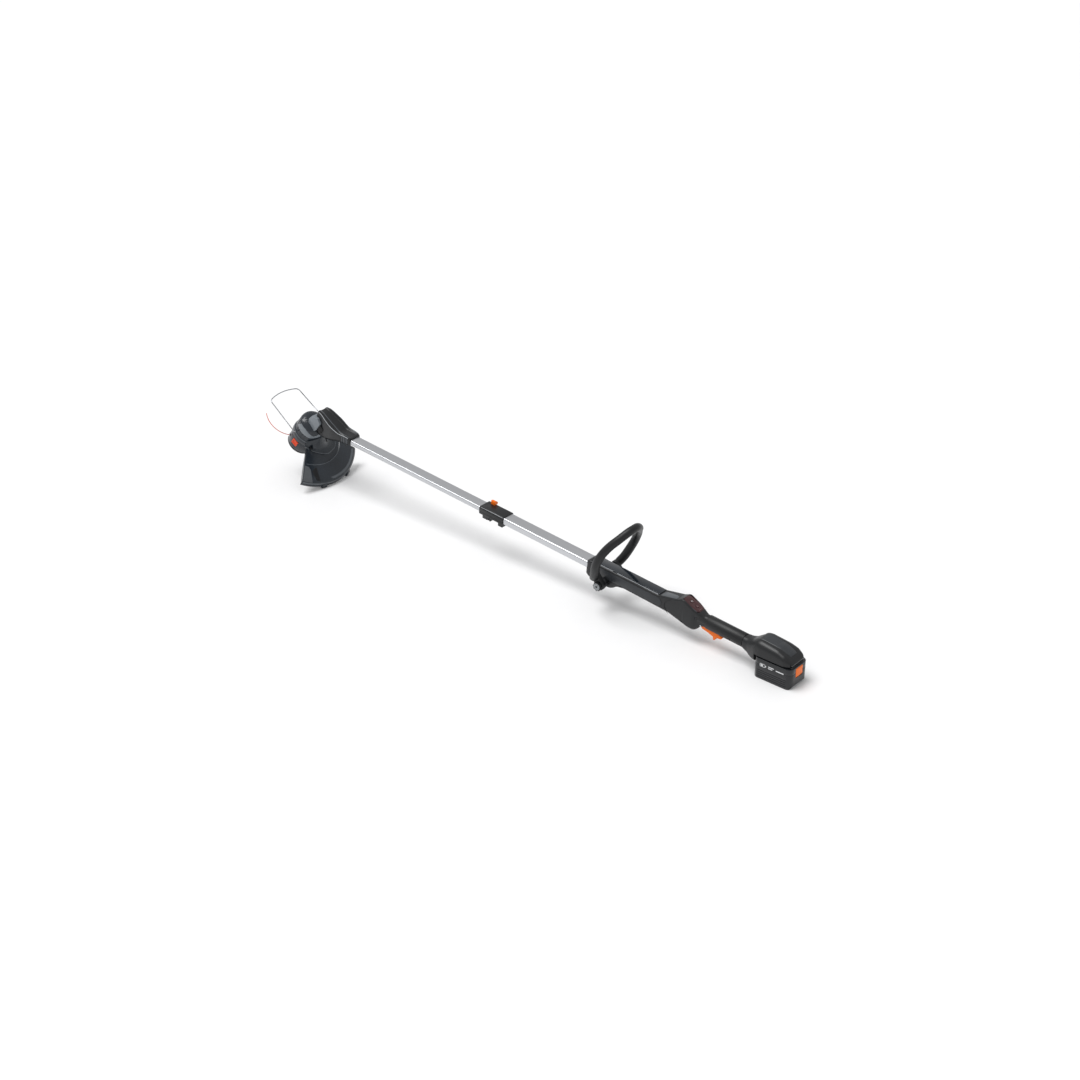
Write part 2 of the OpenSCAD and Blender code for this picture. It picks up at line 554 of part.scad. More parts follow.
module line_eyelet() color(steel) on_head() rotate([0, 0, -135]) translate([spool_r - 4, 0, line_w])
    rotate([0, 90, 0]) difference() {
        union() {
            cylinder(r = 3.5, h = 5, $fn = 48);
            translate([0, 0, 4.4]) cylinder(r = 4.8, h = 1.4, $fn = 48);
        }
        translate([0, 0, -1]) cylinder(r = line_d / 2 + 0.5, h = 9, $fn = 48);
    }
// The line leaves its eyelet and keeps the bend that it took on the reel.
module cutting_line() color(red_orange) on_head() translate([-83.4, 3.9, line_w]) rotate([0, 0, -120.7])
    rotate_extrude(angle = 90.4, $fn = 180) translate([line_bend, 0]) circle(line_d / 2, $fn = 24);
module reel_spring() color(steel) on_head() difference() {
    translate([0, 0, -1]) cylinder(r = 11.5, h = 20, $fn = fine);
    translate([0, 0, -2]) cylinder(r = 9.6, h = 30, $fn = fine);
}
module bump_knob() color(dark) on_head() difference() {
    union() {
        translate([0, 0, -12]) cylinder(r = 21, h = 13, $fn = fine);
        translate([0, 0, -14.4]) cylinder(r = 17, h = 2.5, $fn = fine);
        translate([0, 0, 0.05]) cylinder(r = 23.5, h = 1.35, $fn = fine);
    }
    translate([0, 0, -1.2]) cylinder(r = 14, h = 10, $fn = fine);
}
module latch(a) on_head() rotate([0, 0, a]) difference() {
    block(spool_r - 8.6, spool_r + 0.6, -10, 10, latch_w, latch_w + 19);
    block(spool_r - 1, spool_r + 5, -7, 7, latch_w + 3.5, latch_w + 15.5);
}
module cap_latch_near() color(red_orange) latch(LATCHES[0]);
module cap_latch_far() color(red_orange) latch(LATCHES[1]);
// A bent rod in the XY plane that starts along X and turns towards +Y.
module rod(len) {
    translate([-lap, 0, 0]) rotate([0, 90, 0]) cylinder(r = wire_d / 2, h = len + 2 * lap, $fn = 32);
    translate([len, 0, 0]) children();
}
module turn(r, angle) {
    translate([0, r, 0]) rotate([0, 0, -90]) rotate_extrude(angle = angle, $fn = 180)
        translate([r, 0]) circle(wire_d / 2 + 0.04, $fn = 32);
    translate([0, r, 0]) rotate([0, 0, angle]) translate([0, -r, 0]) children();
}
module wire_guard() color(steel) on_wire() translate([0, -barrel_r + 1.5, 0]) rotate([0, 0, -90])
    rod(wire_ear) turn(wire_elbow, 90 + wire_taper) rod(wire_leg) turn(wire_corner, wire_turn)
    rod(0.5) turn(wire_bow, 2 * (90 - wire_taper - wire_turn)) rod(0.5) turn(wire_corner, wire_turn)
    rod(wire_leg) turn(wire_elbow, 90 + wire_taper) rod(wire_ear);

// ---- Loop handle ----
LIMB = [66, 65.5];                          // straight stretches of a limb
FLARE = [22, 34];                         // lean of each stretch, outwards and then inwards
loop_waist = 45;                          // radius of the bend between them
loop_corner = 35;
module limb(len) {
    translate([0, 0, -lap]) cylinder(r = loop_d / 2, h = len + 2 * lap, $fn = 64);
    translate([0, 0, len]) children();
}
module bend(r, angle) {
    translate([0, -r, 0]) rotate([90, 0, 90]) rotate_extrude(angle = angle, $fn = 128)
        translate([r, 0]) circle(loop_d / 2 + 0.06, $fn = 64);
    translate([0, -r, 0]) rotate([angle, 0, 0]) translate([0, r, 0]) children();
}
loop_top_y = loop_half_w + LIMB[0] * sin(FLARE[0]) + loop_waist * (cos(FLARE[1]) - cos(FLARE[0]))
    - LIMB[1] * sin(FLARE[1]) - loop_corner * cos(FLARE[1]);
module loop_ear() hull() {
    translate([0, knob_y - 6, 14]) rotate([90, 0, 0]) cylinder(r = 9, h = 12, center = true, $fn = 32);
    translate([loop_offset, knob_y - 8, 0]) rotate([90, 0, 0]) cylinder(r = 14, h = 12, center = true, $fn = 32);
}
module loop_handle() color(rubber) on_loop() difference() {
    union() {
        translate([0, loop_half_w, 14]) rotate([-FLARE[0], 0, 0]) limb(LIMB[0])
            bend(loop_waist, FLARE[0] + FLARE[1]) limb(LIMB[1]) bend(loop_corner, 90 - FLARE[1])
            limb(2 * loop_top_y) bend(loop_corner, 90 - FLARE[1]) limb(LIMB[1])
            bend(loop_waist, FLARE[0] + FLARE[1]) limb(LIMB[0]);
        loop_ear();
        mirror([0, 1, 0]) loop_ear();
    }
    pin_y(loop_offset, 0, 4.05, -80, 80);
}
module clamp_knob() color(dark) on_shaft() translate([pivot_s, -knob_y - 0.4, pivot_n]) rotate([90, 0, 0]) difference() {
    union() {
        cylinder(r = 10.5, h = 8, $fn = fine);
        for (a = [0:45:315]) rotate([0, 0, a]) translate([9.5, 0, 0]) cylinder(r = 2.6, h = 8, $fn = 32);
    }
    translate([0, 0, -1]) cylinder(r = 4.05, h = 7, $fn = 64);
}

// ---- Trigger ----
module trigger() color(orange) on_shaft() difference() {
    side([[354, -18], [356, -9], [364, -9], [372, -14], [396, -15.5], [416, -20], [420, -24], [418, -28],
        [404, -30.5], [400, -39], [396, -40], [394, -32], [380, -27.5], [360, -24]], -6, 6);
    pin_y(trigger_s, trigger_n, 2.55, -20, 20);
}

// ---- Battery ----
module battery_case() color(dark) difference() {
    intersection() {
        translate([(pack_x + pack_end) / 2, 0, 0]) linear_extrude(40) rounded(pack_len, pack_w, 15);
        side([[pack_x, 8], [pack_x + 5, 0], [pack_end - 5, 0], [pack_end, 8], [pack_end, 50], [pack_x, 50]], -50, 50);
    }
    translate([(pack_x + pack_end) / 2, 0, 2.5]) linear_extrude(60)
        rounded(pack_len - 6, pack_w - 6, cell_corner);
    for (z = [7:5.5:24]) for (s = [-1, 1]) block(pack_x + 12, pack_end - 12, min(s * (pack_w / 2 - 0.9), s * 50),
        max(s * (pack_w / 2 - 0.9), s * 50), z, z + 2.2);
    block(pack_end - 9.4, pack_end + 5, -14.3, 14.3, 26, 60);
}
module battery_lid() color(dark) difference() {
    union() {
        translate([(pack_x + pack_end) / 2, 0, 40]) linear_extrude(pack_h - 40) rounded(pack_len, pack_w, 15);
        block(pack_x + 4, pack_end - 5, -26, 26, pack_h - eps, 65);
    }
    translate([(pack_x + pack_end) / 2, 0, 38]) linear_extrude(pack_h - 43)
        rounded(pack_len - 6, pack_w - 6, cell_corner);
    block(pack_x + 6.5, pack_end - 9, -23.5, 23.5, 48, 62.4);
    block(pack_end - 9.4, pack_end + 5, -14.3, 14.3, 26, 52.6);
    for (y = [-15, 0, 15]) block(pack_x, pack_x + 30, y - 1.4, y + 1.4, 58, 70);
    for (s = [-1, 1]) block(pack_x - 1, pack_end + 1, min(s * 23.6, s * 30), max(s * 23.6, s * 30), 57.5, 60.5);
}
module battery_cells() color([0.20, 0.45, 0.62]) for (i = [0:4], k = [0, 1])
    pin_y(pack_x + 15.3 + i * cell_pitch, 12.2 + k * 19.6, cell_r, -32, 32);
module battery_board() color([0.12, 0.34, 0.22]) block(pack_x + 10, pack_end - 12, -22, 22, 44, 45.6);
module battery_release() color(orange) intersection() {
    block(pack_end - 5.6, pack_end + 0.9, -14, 14, 26.3, 52.3);
    side([[pack_end - 6, 26], [pack_end - 6, 53], [pack_end - 1, 53], [pack_end + 0.9, 50], [pack_end + 0.3, 40],
        [pack_end + 0.9, 30], [pack_end - 1, 26]], -20, 20);
}

handle_shell_left();
handle_shell_right();
top_cover();
keypad_panel();
grip_rubber();
battery_bay();
terminal_block();
terminal_blades();
controller_board();
trigger_switch();
trigger_pin();
housing_screws();
loop_bolt();
loop_nut();
outer_tube();
sleeve_top();
sleeve_bottom();
sleeve_screws();
coiled_cable();
inner_tube();
tube_bushing();
motor_lead();
neck_shell();
head_cover();
motor_housing();
motor_stator();
motor_bearings();
tube_bolt();
head_screws();
cutting_guard();
guard_screws();
line_cutter();
cutter_screws();
motor_shaft();
motor_rotor();
cooling_fan();
spool_drum();
spool_cap();
line_reel();
line_winding();
line_eyelet();
cutting_line();
reel_spring();
bump_knob();
cap_latch_near();
cap_latch_far();
wire_guard();
release_button();
release_spring();
brake_shoe();
loop_handle();
clamp_knob();
trigger();
power_key();
mode_key();
battery_case();
battery_lid();
battery_cells();
battery_board();
battery_release();
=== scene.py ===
import json
import math

import bpy
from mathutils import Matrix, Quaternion, Vector


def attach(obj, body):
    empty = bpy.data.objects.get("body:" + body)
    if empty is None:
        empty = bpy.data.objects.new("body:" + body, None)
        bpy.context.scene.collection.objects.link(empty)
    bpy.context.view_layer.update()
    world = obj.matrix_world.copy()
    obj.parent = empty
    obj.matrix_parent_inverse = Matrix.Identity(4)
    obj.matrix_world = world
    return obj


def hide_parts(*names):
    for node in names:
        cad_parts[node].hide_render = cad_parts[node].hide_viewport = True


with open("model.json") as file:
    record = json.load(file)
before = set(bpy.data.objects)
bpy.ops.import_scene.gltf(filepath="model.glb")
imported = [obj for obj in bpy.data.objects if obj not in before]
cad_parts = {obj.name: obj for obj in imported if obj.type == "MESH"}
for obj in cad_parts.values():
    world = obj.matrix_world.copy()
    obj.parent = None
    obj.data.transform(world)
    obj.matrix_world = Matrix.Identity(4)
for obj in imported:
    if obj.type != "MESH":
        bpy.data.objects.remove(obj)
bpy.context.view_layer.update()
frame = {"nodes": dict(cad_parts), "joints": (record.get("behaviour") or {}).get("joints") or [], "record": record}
cadNodes = frame["nodes"]
jointOf = {joint["name"]: joint for joint in frame["joints"]}
print("frame loaded")

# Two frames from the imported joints, in mm: onShaft runs along the shaft, onHead and aroundHead start at the
# spool axis.
along = Vector(jointOf["shaft_telescope"]["axis"])
outOf = Vector((-along.z, 0, along.x))
loopPivot = Vector(jointOf["loop_tilt"]["pos_m"])
shaftZero = loopPivot - along * 0.0627 + outOf * 0.0219
spoolUp = Vector(jointOf["spool_spin"]["axis"])
spoolBack = Vector((spoolUp.z, 0, -spoolUp.x))
spoolZero = Vector(jointOf["spool_spin"]["pos_m"])


def onShaft(s, y, n):
    return shaftZero + (along * s + outOf * n + Vector((0, y, 0))) / 1000


def onHead(r, y, w):
    return spoolZero + (spoolBack * r + spoolUp * w + Vector((0, y, 0))) / 1000


def aroundHead(radius, angle, w):
    turn = math.radians(angle)
    return onHead(radius * math.cos(turn), radius * math.sin(turn), w)


def clearSelection():
    if bpy.context.object and bpy.context.object.mode != "OBJECT":
        bpy.ops.object.mode_set(mode="OBJECT")
    bpy.ops.object.select_all(action="DESELECT")


def pick(piece):
    clearSelection()
    piece.select_set(True)
    bpy.context.view_layer.objects.active = piece


def applyModifier(piece, kind, **values):
    modifier = piece.modifiers.new(kind.lower(), kind)
    for key, value in values.items():
        setattr(modifier, key, value)
    pick(piece)
    bpy.ops.object.modifier_apply(modifier=modifier.name)


def roundEdges(piece, width, segments=3, angle=30):
    applyModifier(piece, "BEVEL", width=width / 1000, segments=segments, limit_method="ANGLE",
                  angle_limit=math.radians(angle), use_clamp_overlap=True)


def cutAway(piece, cutter, operation="DIFFERENCE"):
    applyModifier(piece, "BOOLEAN", object=cutter, operation=operation, solver="EXACT")
    pick(cutter)
    bpy.ops.object.delete()


def settle(piece, name, body, slot, material, *nodes, smooth=32):
    piece.name = name
    pick(piece)
    bpy.ops.object.shade_smooth_by_angle(angle=math.radians(smooth))
    piece.data.materials.clear()
    piece.data.materials.append(material)
    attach(piece, body)
    if nodes:
        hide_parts(*nodes)
    return piece


# A closed body through rings of points, each ring with the same number of points.
def loft(rings):
    count, around = len(rings), len(rings[0])
    clearSelection()
    bpy.ops.mesh.primitive_grid_add(x_subdivisions=count - 1, y_subdivisions=around, size=1)
    piece = bpy.context.object
    for index, vertex in enumerate(piece.data.vertices):
        ring, place = index % count, index // count
        vertex.co = rings[ring][place % around]
    bpy.ops.object.mode_set(mode="EDIT")
    bpy.ops.mesh.select_all(action="SELECT")
    bpy.ops.mesh.remove_doubles(threshold=0.0000005)
    for end in (0, -1):
        bpy.ops.mesh.select_all(action="DESELECT")
        bpy.ops.object.mode_set(mode="OBJECT")
        for vertex in piece.data.vertices:
            vertex.select = any((vertex.co - point).length < 0.000001 for point in rings[end])
        bpy.ops.object.mode_set(mode="EDIT")
        bpy.ops.mesh.select_mode(type="VERT")
        bpy.ops.mesh.edge_face_add()
    bpy.ops.mesh.select_all(action="SELECT")
    bpy.ops.mesh.normals_make_consistent(inside=False)
    bpy.ops.object.mode_set(mode="OBJECT")
    return piece


# A smooth line through the given points.
def smoothLine(points, steps):
    line = []
    for i in range(len(points) - 1):
        a = points[max(i - 1, 0)]
        b, c = points[i], points[i + 1]
        d = points[min(i + 2, len(points) - 1)]
        for k in range(steps):
            t = k / steps
            line.append(0.5 * (2 * b + (c - a) * t + (2 * a - 5 * b + 4 * c - d) * t * t
                               + (3 * b - a - 3 * c + d) * t ** 3))
    line.append(points[-1])
    return line


# A tube of round section along a line.
def tube(line, radii, sides=32):
    rings, side = [], None
    for i, point in enumerate(line):
        ahead = (line[min(i + 1, len(line) - 1)] - line[max(i - 1, 0)]).normalized()
        if side is None:
            side = ahead.orthogonal().normalized()
        side = (side - ahead * side.dot(ahead)).normalized()
        other = ahead.cross(side)
        radius = radii[i] if isinstance(radii, list) else radii
        rings.append([point + (side * math.cos(a) + other * math.sin(a)) * radius
                      for a in (2 * math.pi * k / sides for k in range(sides))])
    return loft(rings)


# A flat outline pushed out to a thickness, with its edges rounded.
def slab(points, push, edge=0.0, segments=3):
    clearSelection()
    bpy.ops.mesh.primitive_circle_add(vertices=len(points), radius=0.01, fill_type="NGON")
    piece = bpy.context.object
    for vertex, point in zip(piece.data.vertices, points):
        vertex.co = point
    bpy.ops.object.mode_set(mode="EDIT")
    bpy.ops.mesh.select_all(action="SELECT")
    bpy.ops.mesh.extrude_region_move(TRANSFORM_OT_translate={"value": push})
    bpy.ops.mesh.select_all(action="SELECT")
    bpy.ops.mesh.normals_make_consistent(inside=False)
    bpy.ops.object.mode_set(mode="OBJECT")
    if edge:
        roundEdges(piece, edge, segments)
    return piece


def disc(centre, axis, radius, depth, sides=48):
    across = axis.orthogonal().normalized()
    other = axis.normalized().cross(across)
    points = [centre + (across * math.cos(a) + other * math.sin(a)) * radius
              for a in (2 * math.pi * k / sides for k in range(sides))]
    return slab(points, axis.normalized() * depth)


def brick(place, xs, ys, zs):
    corners = [place(xs[0], y, z) for y, z in
               ((ys[0], zs[0]), (ys[1], zs[0]), (ys[1], zs[1]), (ys[0], zs[1]))]
    return slab(corners, place(xs[1], ys[0], zs[0]) - corners[0])


# A height read off a broken line of (place, height) points.
def between(points, at):
    if at <= points[0][0]:
        return points[0][1]
    for (a, low), (b, high) in zip(points, points[1:]):
        if at <= b:
            return low + (high - low) * (at - a) / (b - a)
    return points[-1][1]


# A broken line read with its corners rounded over a reach.
def softly(points, at, reach):
    offsets = [-1, -0.6, -0.2, 0.2, 0.6, 1]
    return sum(between(points, at + reach * k) for k in offsets) / len(offsets)


# A rounded rectangle across the shaft, as points (y, n), with one corner radius above and one below.
def roundedRing(half, low, high, lowRadius, highRadius, steps=7):
    ring = []
    corners = [(half, high, highRadius, 0), (-half, high, highRadius, 90),
               (-half, low, lowRadius, 180), (half, low, lowRadius, 270)]
    for y, n, radius, start in corners:
        radius = min(radius, half - 0.2, (high - low) / 2 - 0.2)
        cy = y - math.copysign(radius, y)
        cn = n - radius if n == high else n + radius
        for k in range(steps):
            a = math.radians(start + 90 * k / (steps - 1))
            ring.append((cy + radius * math.cos(a), cn + radius * math.sin(a)))
    return ring


# A copy of a CAD part with its edges rounded, as its moulded or machined form.
def softCopy(node, width, segments=2, angle=30):
    pick(cadNodes[node])
    bpy.ops.object.duplicate()
    piece = bpy.context.object
    for key in list(piece.keys()):
        del piece[key]
    piece.parent = None
    bpy.ops.object.mode_set(mode="EDIT")
    bpy.ops.mesh.select_all(action="SELECT")
    bpy.ops.mesh.remove_doubles(threshold=0.00002)
    bpy.ops.mesh.dissolve_limited(angle_limit=math.radians(1))
    bpy.ops.object.mode_set(mode="OBJECT")
    if width:
        roundEdges(piece, width, segments, angle)
    return piece


# Camera and light.
view = {
    "lens": 61.83, "target": (-0.7595, 0, 0.0979), "towards": (0.5676, -0.6599, 0.4924), "distance": 4.846,
    "sensor": 36,
}
towards = Vector(view["towards"]).normalized()
bpy.ops.object.camera_add(location=Vector(view["target"]) + towards * view["distance"])
camera = bpy.context.object
camera.rotation_euler = (-towards).to_track_quat("-Z", "Y").to_euler()
camera.data.lens = view["lens"]
camera.data.sensor_width = view["sensor"]
bpy.context.scene.camera = camera

studio = {"sky": 0.62, "sun": 2.1, "softness": 0.6, "place": (-1.5, -0.6, 3), "aim": (0.35, 0.25, -1)}
bpy.context.scene.view_settings.view_transform = "Standard"
world = bpy.context.scene.world or bpy.data.worlds.new("studio")
bpy.context.scene.world = world
world.use_nodes = True
world.node_tree.nodes["Background"].inputs[0].default_value = (1, 1, 1, 1)
world.node_tree.nodes["Background"].inputs[1].default_value = studio["sky"]
bpy.ops.object.light_add(type="SUN", location=studio["place"])
sun = bpy.context.object
sun.data.energy = studio["sun"]
sun.data.angle = studio["softness"]
sun.rotation_euler = Vector(studio["aim"]).to_track_quat("-Z", "Y").to_euler()


# Materials.
def makeMaterial(name, colour, rough, metallic=0.0, grain=1400, depth=0.12, mottle=0.10, stretch=(1, 1, 1),
                 coat=0.0, spread=0.08, patches=22):
    material = bpy.data.materials.new(name)
    material.use_nodes = True
    tree = material.node_tree
    shader = tree.nodes["Principled BSDF"]
    place = tree.nodes.new("ShaderNodeTexCoord")
    mapping = tree.nodes.new("ShaderNodeMapping")
    mapping.inputs["Scale"].default_value = stretch
    tree.links.new(place.outputs["Object"], mapping.inputs["Vector"])
    fine = tree.nodes.new("ShaderNodeTexNoise")
    fine.inputs["Scale"].default_value = grain
    fine.inputs["Detail"].default_value = 3
    wide = tree.nodes.new("ShaderNodeTexNoise")
    wide.inputs["Scale"].default_value = patches
    wide.inputs["Detail"].default_value = 4
    for noise in (fine, wide):
        tree.links.new(mapping.outputs["Vector"], noise.inputs["Vector"])
    ramp = tree.nodes.new("ShaderNodeValToRGB")
    ramp.color_ramp.elements[0].position = 0.3
    ramp.color_ramp.elements[1].position = 0.7
    ramp.color_ramp.elements[0].color = tuple(c * (1 - mottle) for c in colour) + (1,)
    ramp.color_ramp.elements[1].color = tuple(min(c * (1 + mottle), 1) for c in colour) + (1,)
    tree.links.new(wide.outputs["Fac"], ramp.inputs["Fac"])
    tree.links.new(ramp.outputs["Color"], shader.inputs["Base Color"])
    gloss = tree.nodes.new("ShaderNodeMapRange")
    gloss.inputs["To Min"].default_value = max(rough - spread, 0.03)
    gloss.inputs["To Max"].default_value = rough + spread
    tree.links.new(fine.outputs["Fac"], gloss.inputs["Value"])
    tree.links.new(gloss.outputs["Result"], shader.inputs["Roughness"])
    bump = tree.nodes.new("ShaderNodeBump")
    bump.inputs["Strength"].default_value = depth
    bump.inputs["Distance"].default_value = 0.0002
    tree.links.new(fine.outputs["Fac"], bump.inputs["Height"])
    tree.links.new(bump.outputs["Normal"], shader.inputs["Normal"])
    shader.inputs["Metallic"].default_value = metallic
    shader.inputs["Specular IOR Level"].default_value = 0.5 if metallic else 0.34
    shader.inputs["Coat Weight"].default_value = coat
    shader.inputs["Coat Roughness"].default_value = 0.12
    return material


finish = {
    "shell": makeMaterial("moulded charcoal", (0.0125, 0.0132, 0.0145), 0.34, depth=0.30),
    "gloss_cover": makeMaterial("gloss blue black", (0.008, 0.012, 0.018), 0.16, coat=0.6, depth=0.03),
    "keypad": makeMaterial("keypad film", (0.050, 0.016, 0.018), 0.24, coat=0.3, depth=0.04),
    "soft_grip": makeMaterial("soft rubber", (0.009, 0.0095, 0.0105), 0.42, grain=2200, depth=0.45),
    "alloy": makeMaterial("satin aluminium", (0.56, 0.57, 0.59), 0.32, 1.0, 900, 0.10, 0.05, (0.02, 1, 1)),
    "steel": makeMaterial("plated steel", (0.56, 0.57, 0.59), 0.24, 1.0, 1200, 0.08, 0.05),
    "copper": makeMaterial("drawn copper", (0.60, 0.30, 0.14), 0.30, 1.0, 1500, 0.15, 0.12, (1, 1, 6)),
    "nylon": makeMaterial("natural nylon", (0.62, 0.60, 0.54), 0.42),
    "orange": makeMaterial("orange plastic", (0.90, 0.165, 0.004), 0.38, depth=0.12, mottle=0.05),
    "red_orange": makeMaterial("red orange plastic", (0.72, 0.055, 0.006), 0.38, depth=0.12, mottle=0.05),
    "battery_plastic": makeMaterial("battery black", (0.007, 0.008, 0.010), 0.24, coat=0.3, depth=0.15),
    "guard_plastic": makeMaterial("guard blue grey", (0.015, 0.020, 0.027), 0.27, coat=0.25, depth=0.02),
    "dark_plastic": makeMaterial("dark plastic", (0.010, 0.011, 0.012), 0.40, depth=0.3),
    "board": makeMaterial("lacquered board", (0.02, 0.11, 0.05), 0.36, grain=400, depth=0.2),
    "cell": makeMaterial("cell sleeve", (0.05, 0.20, 0.42), 0.34, metallic=0.2),
}
trim = {
    # Light grey for the handle's top inlay, and a painted highlight on the guard's near-end facet.
    "inlay_and_highlight": makeMaterial("light grey inlay and facet highlight", (0.085, 0.092, 0.100), 0.36, depth=0.22),
    "panel": makeMaterial("mid grey panel", (0.030, 0.033, 0.037), 0.38, depth=0.30),
    "mark": makeMaterial("printed white", (0.72, 0.73, 0.74), 0.45, depth=0.02, mottle=0.03),
    # Black for the handle's seam line, and painted shade in the side vent and in the guard's near crease.
    "shade": makeMaterial("seam black and painted shade", (0.006, 0.006, 0.007), 0.60, depth=0.2),
    # ridge: lighter grey for beads, ribs, rims and guard bands, a painted highlight where light catches them
    "ridge": makeMaterial("painted ridge highlight", (0.075, 0.085, 0.097), 0.22, coat=0.4, depth=0.05),
    # This light blue grey is a painted highlight on the lit facets of the motor ledges and the motor block.
    "facet_highlight": makeMaterial("blue grey facet highlight", (0.17, 0.19, 0.21), 0.30, coat=0.3, depth=0.04),
    # edge: light grey for thin lines along edges and for rib tops, a painted highlight where light catches them
    "edge": makeMaterial("painted edge highlight", (0.42, 0.44, 0.46), 0.25, depth=0.02, mottle=0.03),
    "dim": makeMaterial("dim key print", (0.22, 0.15, 0.15), 0.4, depth=0.02, mottle=0.03),
    "wire": makeMaterial("drawn wire", (0.40, 0.41, 0.43), 0.34, 1.0, 1200, 0.08, 0.05),
    "blackened": makeMaterial("blackened screw", (0.045, 0.046, 0.05), 0.35, 0.8, 1500, 0.1, 0.08),
    "line": makeMaterial("cutting line nylon", (0.60, 0.055, 0.004), 0.4, depth=0.05, mottle=0.04),
}
for row in frame["record"]["subparts"]:
    for slot in cadNodes[row["node"]].material_slots:
        slot.material = finish[row["material_slot"]]

# Floor.
bpy.ops.mesh.primitive_plane_add(size=60, location=(-0.8, 0, -0.0002))
floor = bpy.context.object
floor.name = "floor"
floor.data.materials.append(makeMaterial("studio floor", (0.86, 0.86, 0.865), 0.6, mottle=0.004, depth=0.0))

# Cutting line.
line = {
    "centre": (-83.4, 3.9), "radius": 64, "w": 9, "from": -30.3, "to": -120.7, "points": 24, "diameter": 2,
}
route = []
for k in range(line["points"]):
    a = math.radians(line["from"] + (line["to"] - line["from"]) * k / (line["points"] - 1))
    route.append(onHead(line["centre"][0] + line["radius"] * math.cos(a),
                        line["centre"][1] + line["radius"] * math.sin(a), line["w"]))
cutLine = settle(tube(route, line["diameter"] / 2000, 16), "cutting_line_cord", "spool", "red_orange",
                 trim["line"], "cutting_line")
print("camera, light and line")

# CAD parts that only need their edges rounded.
bodyOf = {node: body for body, nodes in frame["record"]["behaviour"]["bodies"].items() for node in nodes}
slotOf = {row["node"]: row["material_slot"] for row in frame["record"]["subparts"]}
softened = {
    "outer_tube": 0, "inner_tube": 0, "sleeve_top": 0.9, "sleeve_bottom": 0.9, "release_button": 1.2,
    "trigger": 1.6, "top_cover": 0.9, "keypad_panel": 0.3, "power_key": 0.5, "mode_key": 0.5,
    "clamp_knob": 0.7, "loop_nut": 1.0, "battery_release": 1.0, "spool_drum": 1.0, "spool_cap": 0.5,
    "bump_knob": 0.5, "cap_latch_near": 0.9, "cap_latch_far": 0.9, "motor_housing": 0.7,
    "battery_case": 1.4, "battery_lid": 1.2, "wire_guard": 0, "line_eyelet": 0.3, "line_cutter": 0.3,
    "tube_bolt": 0.5, "grip_rubber": 0.8, "loop_bolt": 0.6, "housing_screws": 0.25, "head_screws": 0.2,
    "sleeve_screws": 0.2, "guard_screws": 0.3, "cutter_screws": 0.2, "motor_shaft": 0,
}
special = {
    "wire_guard": "wire", "guard_screws": "blackened", "head_screws": "blackened",
    "housing_screws": "blackened", "sleeve_screws": "blackened", "tube_bolt": "blackened",
    "loop_nut": "blackened",
}
for node, width in softened.items():
    look = trim[special[node]] if node in special else finish[slotOf[node]]
    settle(softCopy(node, width), node + "_form", bodyOf[node], slotOf[node], look, node)
print("rounded parts")

# Rear handle housing.
housing = {
    "top": [(0, 13), (5, 16.6), (228, 16.6), (284, 30.5), (300, 38.4), (306, 38.2), (346, 21.5), (360, 17),
            (374, 14)],
    "low": [(0, -30), (14, -36.5), (34, -38), (50, -38.5), (74, -38.5), (84, -34), (96, -24), (120, -17.8),
            (262, -21.5), (296, -29), (322, -35), (338, -35.5), (346, -32), (356, -20), (366, -16.5),
            (374, -13)],
    "half": [(0, 18.6), (6, 20.6), (34, 20.6), (40, 19.8), (230, 19.2), (290, 19.6), (334, 19.4), (352, 16),
             (362, 13), (374, 11)],
    "topRadius": [(0, 5), (228, 5), (300, 4), (346, 6), (374, 9)],
    "lowRadius": [(0, 9), (90, 9), (120, 7), (296, 9), (340, 9), (374, 9)],
    "core": {"radius": 16.5, "runs": (350, 500), "sides": 64},
    "coverSeat": ((30, 229), (-16, 16), (14.4, 20)),
    "triggerSlot": ((348, 430), (-7, 7), (-44, -4)),
    "screws": ((22, -13.4), (112, -12.6), (225, -13), (306, -24), (344, 5), (448, -6)),
    "screwWell": {"from": -30, "radius": 0.0036, "depth": 0.015},
}
places = [0, 1.2, 3, 5, 8, 12, 18, 26, 33, 36, 38, 41, 50, 60, 70, 76, 80, 84, 88, 92, 96, 100, 106, 112]
places += [118, 124]
places += list(range(134, 226, 13)) + list(range(226, 376, 3))
rings = []
for s in places:
    half, low = softly(housing["half"], s, 1.5), softly(housing["low"], s, 3)
    ring = roundedRing(half, low, softly(housing["top"], s, 1.2),
                       between(housing["lowRadius"], s), between(housing["topRadius"], s))
    rings.append([onShaft(s, y, n) for y, n in ring])
handle = loft(rings)
core = housing["core"]
coreTurns = [2 * math.pi * k / core["sides"] for k in range(core["sides"])]
gripCore = loft([[onShaft(s, core["radius"] * math.cos(a), core["radius"] * math.sin(a)) for a in coreTurns]
                 for s in core["runs"]])
cutAway(handle, gripCore, "UNION")
cutAway(handle, brick(onShaft, *housing["coverSeat"]))
bore = {"half": 19.05, "height": 9.8, "corner": 4.2, "from": -2, "to": 71}
cutAway(handle, loft([[onShaft(s, y, n) for y, n in roundedRing(bore["half"], -bore["height"], bore["height"],
                                                                bore["corner"], bore["corner"])]
                      for s in (bore["from"], bore["to"])]))
cutAway(handle, brick(onShaft, *housing["triggerSlot"]))
keypad = {
    "tilt": 20.5, "at": (303, 0, 37.4), "recess": ((-4, 50), (-15.2, 15.2), (-1.6, 12)), "keys": (15, 33),
    "well": {"from": -6, "radius": 0.0056, "depth": 0.010},
}
panelTurn = Quaternion((0, 1, 0), math.radians(keypad["tilt"]))
panelZero = onShaft(*keypad["at"])


def onPanel(x, y, z):
    return panelZero + panelTurn @ (along * x + outOf * z + Vector((0, y, 0))) / 1000


